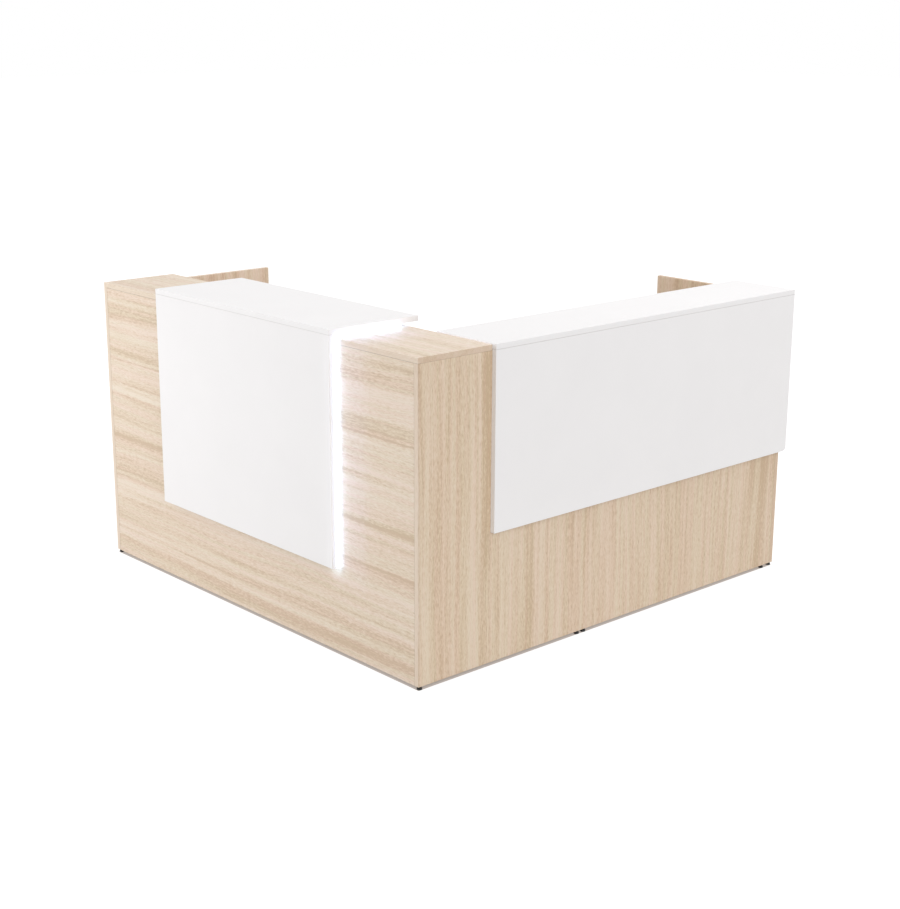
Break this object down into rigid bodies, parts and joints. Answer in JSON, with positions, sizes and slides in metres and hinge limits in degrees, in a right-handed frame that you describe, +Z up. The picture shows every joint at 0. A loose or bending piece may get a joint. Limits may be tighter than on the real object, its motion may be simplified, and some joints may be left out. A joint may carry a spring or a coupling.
{
  "type": "reception desk",
  "caption": "L-shaped reception desk in oak-look board with a stand-off white wrap edged by a light line, a white-clad side wing, sitting-height work surfaces and levelling feet.",
  "frame": {"origin": "on the floor, below the middle of the desk's bounding box", "axes": "+Z up; +X runs along the left wing towards the outer corner; +Y runs along the right wing away from that corner; the left wing faces its visitors towards -Y and the right wing towards +X"},
  "size_m": [1.818, 1.856, 1.1],
  "materials": {
    "oak_board": "oak-look melamine on chipboard, fine straight grain, satin",
    "white_board": "white melamine on chipboard, satin",
    "batten": "grey-white melamine strip",
    "channel": "anodised, satin",
    "opal": "opal acrylic, lit from behind",
    "strip": "white flexible circuit",
    "chip": "light chips, cool white",
    "driver_case": "white moulded case",
    "switch_frame": "black, moulded",
    "rocker": "black, moulded",
    "steel_pin": "bright steel",
    "tray_steel": "light grey powder coat",
    "grommet": "grey, moulded",
    "grommet_cap": "grey, moulded",
    "bracket_steel": "light grey powder coat",
    "packer": "white nylon washers",
    "zinc": "zinc, as cast",
    "screw_steel": "zinc plated",
    "dowel_beech": "beech, plain",
    "insert_brass": "plain",
    "foot_nylon": "black nylon"
  },
  "bodies": {
    "desk": {"arm_screws": "screw_steel", "bracket_screws": "screw_steel", "cam_bolts": "zinc", "cam_locks": "zinc", "cladding_screws": "screw_steel", "corner_end_panel": "oak_board", "counter_arms": "bracket_steel", "counter_packers": "packer", "dowels": "dowel_beech", "driver_screws": "screw_steel", "foot_inserts": "insert_brass", "grommet_sleeve_left": "grommet", "grommet_sleeve_middle": "grommet", "grommet_sleeve_right": "grommet", "joining_plates": "bracket_steel", "joining_screws": "screw_steel", "led_channel_front": "channel", "led_channel_top": "channel", "led_chips": "chip", "led_diffuser_front": "opal", "led_diffuser_top": "opal", "led_driver": "driver_case", "led_strips": "strip", "left_cable_tray": "tray_steel", "left_counter": "oak_board", "left_end_panel": "oak_board", "left_front_panel": "oak_board", "left_worktop": "oak_board", "right_cable_tray": "tray_steel", "right_cladding": "white_board", "right_counter": "white_board", "right_end_panel": "oak_board", "right_front_panel": "oak_board", "right_worktop": "oak_board", "switch_housing": "switch_frame", "switch_pin": "steel_pin", "tray_screws": "screw_steel", "worktop_brackets": "bracket_steel", "wrap_front": "white_board", "wrap_front_battens": "batten", "wrap_screws": "screw_steel", "wrap_top": "white_board", "wrap_top_battens": "batten"},
    "foot_corner_front": {"foot_corner_front": "foot_nylon"},
    "foot_corner_rear": {"foot_corner_rear": "foot_nylon"},
    "foot_end_front": {"foot_end_front": "foot_nylon"},
    "foot_end_rear": {"foot_end_rear": "foot_nylon"},
    "foot_left_front": {"foot_left_front": "foot_nylon"},
    "foot_left_rear": {"foot_left_rear": "foot_nylon"},
    "foot_side_far": {"foot_side_far": "foot_nylon"},
    "foot_side_near": {"foot_side_near": "foot_nylon"},
    "grommet_cap_left": {"grommet_cap_left": "grommet_cap"},
    "grommet_cap_middle": {"grommet_cap_middle": "grommet_cap"},
    "grommet_cap_right": {"grommet_cap_right": "grommet_cap"},
    "switch_rocker": {"switch_rocker": "rocker"}
  },
  "joints": [
    {"name": "foot_corner_front_turn", "type": "hinge", "parent": "desk", "child": "foot_corner_front", "pos_m": [0.882, -0.884, 0], "axis": [0, 0, 1], "continuous": true},
    {"name": "foot_corner_rear_turn", "type": "hinge", "parent": "desk", "child": "foot_corner_rear", "pos_m": [0.882, -0.171, 0], "axis": [0, 0, 1], "continuous": true},
    {"name": "foot_end_front_turn", "type": "hinge", "parent": "desk", "child": "foot_end_front", "pos_m": [0.879, 0.901, 0], "axis": [0, 0, 1], "continuous": true},
    {"name": "foot_end_rear_turn", "type": "hinge", "parent": "desk", "child": "foot_end_rear", "pos_m": [0.296, 0.901, 0], "axis": [0, 0, 1], "continuous": true},
    {"name": "foot_left_front_turn", "type": "hinge", "parent": "desk", "child": "foot_left_front", "pos_m": [-0.9, -0.884, 0], "axis": [0, 0, 1], "continuous": true},
    {"name": "foot_left_rear_turn", "type": "hinge", "parent": "desk", "child": "foot_left_rear", "pos_m": [-0.9, -0.171, 0], "axis": [0, 0, 1], "continuous": true},
    {"name": "foot_side_far_turn", "type": "hinge", "parent": "desk", "child": "foot_side_far", "pos_m": [0.882, 0.852, 0], "axis": [0, 0, 1], "continuous": true},
    {"name": "foot_side_near_turn", "type": "hinge", "parent": "desk", "child": "foot_side_near", "pos_m": [0.882, -0.139, 0], "axis": [0, 0, 1], "continuous": true},
    {"name": "grommet_cap_left_turn", "type": "hinge", "parent": "desk", "child": "grommet_cap_left", "pos_m": [-0.459, -0.73, 0.74], "axis": [0, 0, 1], "continuous": true},
    {"name": "grommet_cap_middle_turn", "type": "hinge", "parent": "desk", "child": "grommet_cap_middle", "pos_m": [0.441, -0.73, 0.74], "axis": [0, 0, 1], "continuous": true},
    {"name": "grommet_cap_right_turn", "type": "hinge", "parent": "desk", "child": "grommet_cap_right", "pos_m": [0.725, 0.3705, 0.74], "axis": [0, 0, 1], "continuous": true},
    {"name": "switch_rocker_tilt", "type": "hinge", "parent": "desk", "child": "switch_rocker", "pos_m": [0.753, -0.881, 0.93], "axis": [1, 0, 0], "range_deg": [-16, 0]}
  ]
}
